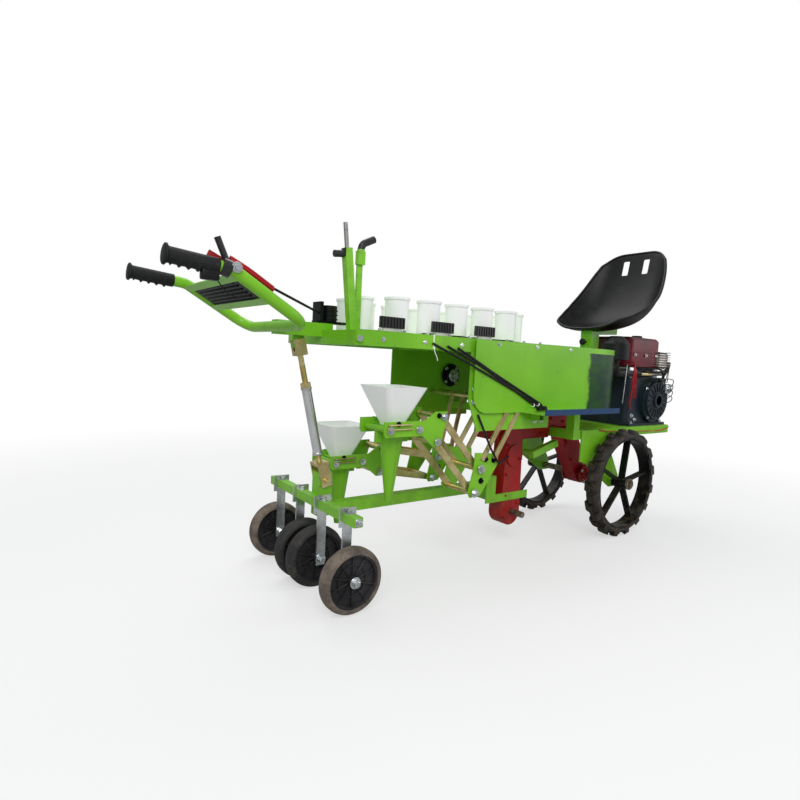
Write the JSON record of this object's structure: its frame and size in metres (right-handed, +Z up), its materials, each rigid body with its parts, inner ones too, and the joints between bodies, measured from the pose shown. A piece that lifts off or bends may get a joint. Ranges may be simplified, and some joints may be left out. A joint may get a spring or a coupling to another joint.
{
  "type": "vegetable transplanter",
  "caption": "Self-propelled two-row vegetable transplanter with handlebar, seedling cup loop, duckbill planters, bucket seat and rear-mounted engine.",
  "frame": {"origin": "middle of the ground footprint, under the middle of the overall length", "axes": "+X towards the engine end, +Y towards the far row, +Z up"},
  "size_m": [2.5036, 0.734, 1.3955],
  "materials": {
    "lime_paint": "satin enamel",
    "bar_paint": "satin enamel",
    "yellow_zinc": "yellow zinc plating",
    "bright_zinc": "bright zinc plating",
    "bare_steel": "dull bare steel",
    "red_paint": "gloss enamel",
    "maroon_paint": "gloss enamel",
    "engine_paint": "dark painted casting",
    "black_steel": "satin black",
    "black_plastic": "matt black",
    "black_rubber": "ribbed rubber",
    "drive_tyre": "dusty rubber",
    "press_tyre": "dusty rubber",
    "white_plastic": "moulded white plastic"
  },
  "bodies": {
    "frame": {"drive_axle": "bare_steel", "press_hangers": "yellow_zinc", "press_bar": "bar_paint", "rear_arm": "lime_paint", "link_tube": "bright_zinc", "link_ends": "yellow_zinc", "top_frame": "lime_paint", "cup_deck": "lime_paint", "handlebar": "lime_paint", "handle_grips": "black_rubber", "handle_tray": "black_plastic", "hand_levers": "red_paint", "stem_spool": "black_plastic", "side_plates": "lime_paint", "hood": "lime_paint", "foot_boards": "lime_paint", "engine_frame": "lime_paint", "gearbox": "red_paint", "drive_case": "red_paint", "planting_case": "red_paint", "crank_stub": "bare_steel", "knees": "lime_paint", "knee_struts": "yellow_zinc", "seedling_cups": "white_plastic", "cup_track": "black_plastic", "ribbed_guides": "black_plastic", "seat": "black_plastic", "seat_post": "lime_paint", "engine_block": "engine_paint", "flywheel_cover": "engine_paint", "fuel_tank": "maroon_paint", "air_cleaner": "black_plastic", "marker_post": "lime_paint", "lift_lever": "lime_paint", "control_cables": "black_rubber"},
    "near_drive": {"near_drive_wheel": "black_steel", "near_drive_tyre": "drive_tyre"},
    "far_drive": {"far_drive_wheel": "black_steel", "far_drive_tyre": "drive_tyre"},
    "far_outer_press": {"far_outer_press_disc": "black_plastic", "far_outer_press_tyre": "press_tyre"},
    "far_inner_press": {"far_inner_press_disc": "black_plastic", "far_inner_press_tyre": "press_tyre"},
    "near_inner_press": {"near_inner_press_disc": "black_plastic", "near_inner_press_tyre": "press_tyre"},
    "near_outer_press": {"near_outer_press_disc": "black_plastic", "near_outer_press_tyre": "press_tyre"},
    "near_upper_arm": {"near_upper_arm": "yellow_zinc"},
    "near_lower_arm": {"near_lower_arm": "yellow_zinc"},
    "near_planter": {"near_carrier": "lime_paint", "near_funnel": "white_plastic"},
    "near_rear_jaw": {"near_rear_jaw": "lime_paint"},
    "near_front_jaw": {"near_front_jaw": "lime_paint"},
    "far_upper_arm": {"far_upper_arm": "yellow_zinc"},
    "far_lower_arm": {"far_lower_arm": "yellow_zinc"},
    "far_planter": {"far_carrier": "lime_paint", "far_funnel": "white_plastic"},
    "far_rear_jaw": {"far_rear_jaw": "lime_paint"},
    "far_front_jaw": {"far_front_jaw": "lime_paint"}
  },
  "joints": [
    {"name": "near_drive_wheel_turn", "type": "hinge", "parent": "frame", "child": "near_drive", "pos_m": [0.772, -0.245, 0.25], "axis": [0, 1, 0], "continuous": true},
    {"name": "far_drive_wheel_turn", "type": "hinge", "parent": "frame", "child": "far_drive", "pos_m": [0.772, 0.245, 0.25], "axis": [0, 1, 0], "continuous": true},
    {"name": "far_outer_press_turn", "type": "hinge", "parent": "frame", "child": "far_outer_press", "pos_m": [-0.713, 0.275, 0.103], "axis": [0, 1, 0], "continuous": true},
    {"name": "far_inner_press_turn", "type": "hinge", "parent": "frame", "child": "far_inner_press", "pos_m": [-0.713, 0.045, 0.103], "axis": [0, 1, 0], "continuous": true},
    {"name": "near_inner_press_turn", "type": "hinge", "parent": "frame", "child": "near_inner_press", "pos_m": [-0.713, -0.045, 0.103], "axis": [0, 1, 0], "continuous": true},
    {"name": "near_outer_press_turn", "type": "hinge", "parent": "frame", "child": "near_outer_press", "pos_m": [-0.713, -0.275, 0.103], "axis": [0, 1, 0], "continuous": true},
    {"name": "near_lift", "type": "hinge", "parent": "frame", "child": "near_lower_arm", "pos_m": [-0.185, -0.167, 0.305], "axis": [0, 1, 0], "range_deg": [-42.5, 5]},
    {"name": "near_upper_swing", "type": "hinge", "parent": "frame", "child": "near_upper_arm", "pos_m": [-0.16, -0.167, 0.391], "axis": [0, 1, 0], "range_deg": [-42.5, 5]},
    {"name": "near_level", "type": "hinge", "parent": "near_lower_arm", "child": "near_planter", "pos_m": [-0.37086, -0.167, 0.50085], "axis": [0, 1, 0], "range_deg": [-5, 42.5]},
    {"name": "near_jaw_open", "type": "hinge", "parent": "near_planter", "child": "near_rear_jaw", "pos_m": [-0.56886, -0.167, 0.54685], "axis": [0, 1, 0], "range_deg": [0, 14], "stiffness_Nm_per_rad": 0.8, "springref_deg": -8.59},
    {"name": "near_front_jaw_open", "type": "hinge", "parent": "near_planter", "child": "near_front_jaw", "pos_m": [-0.45286, -0.167, 0.54685], "axis": [0, 1, 0], "range_deg": [-14, 0]},
    {"name": "far_lift", "type": "hinge", "parent": "frame", "child": "far_lower_arm", "pos_m": [-0.103, 0.167, 0.284], "axis": [0, 1, 0], "range_deg": [-5, 42.5]},
    {"name": "far_upper_swing", "type": "hinge", "parent": "frame", "child": "far_upper_arm", "pos_m": [-0.078, 0.167, 0.37], "axis": [0, 1, 0], "range_deg": [-5, 42.5]},
    {"name": "far_level", "type": "hinge", "parent": "far_lower_arm", "child": "far_planter", "pos_m": [-0.3689, 0.167, 0.33089], "axis": [0, 1, 0], "range_deg": [-42.5, 5]},
    {"name": "far_jaw_open", "type": "hinge", "parent": "far_planter", "child": "far_rear_jaw", "pos_m": [-0.5669, 0.167, 0.37689], "axis": [0, 1, 0], "range_deg": [0, 14], "stiffness_Nm_per_rad": 0.8, "springref_deg": -8.59},
    {"name": "far_front_jaw_open", "type": "hinge", "parent": "far_planter", "child": "far_front_jaw", "pos_m": [-0.4509, 0.167, 0.37689], "axis": [0, 1, 0], "range_deg": [-14, 0]}
  ],
  "couplings": [
    {"joint": "near_upper_swing", "follows": "near_lift", "ratio": 1},
    {"joint": "near_level", "follows": "near_lift", "ratio": -1},
    {"joint": "near_front_jaw_open", "follows": "near_jaw_open", "ratio": -1},
    {"joint": "far_lift", "follows": "near_lift", "ratio": -1},
    {"joint": "far_upper_swing", "follows": "near_lift", "ratio": -1},
    {"joint": "far_level", "follows": "near_lift", "ratio": 1},
    {"joint": "far_front_jaw_open", "follows": "far_jaw_open", "ratio": -1}
  ]
}
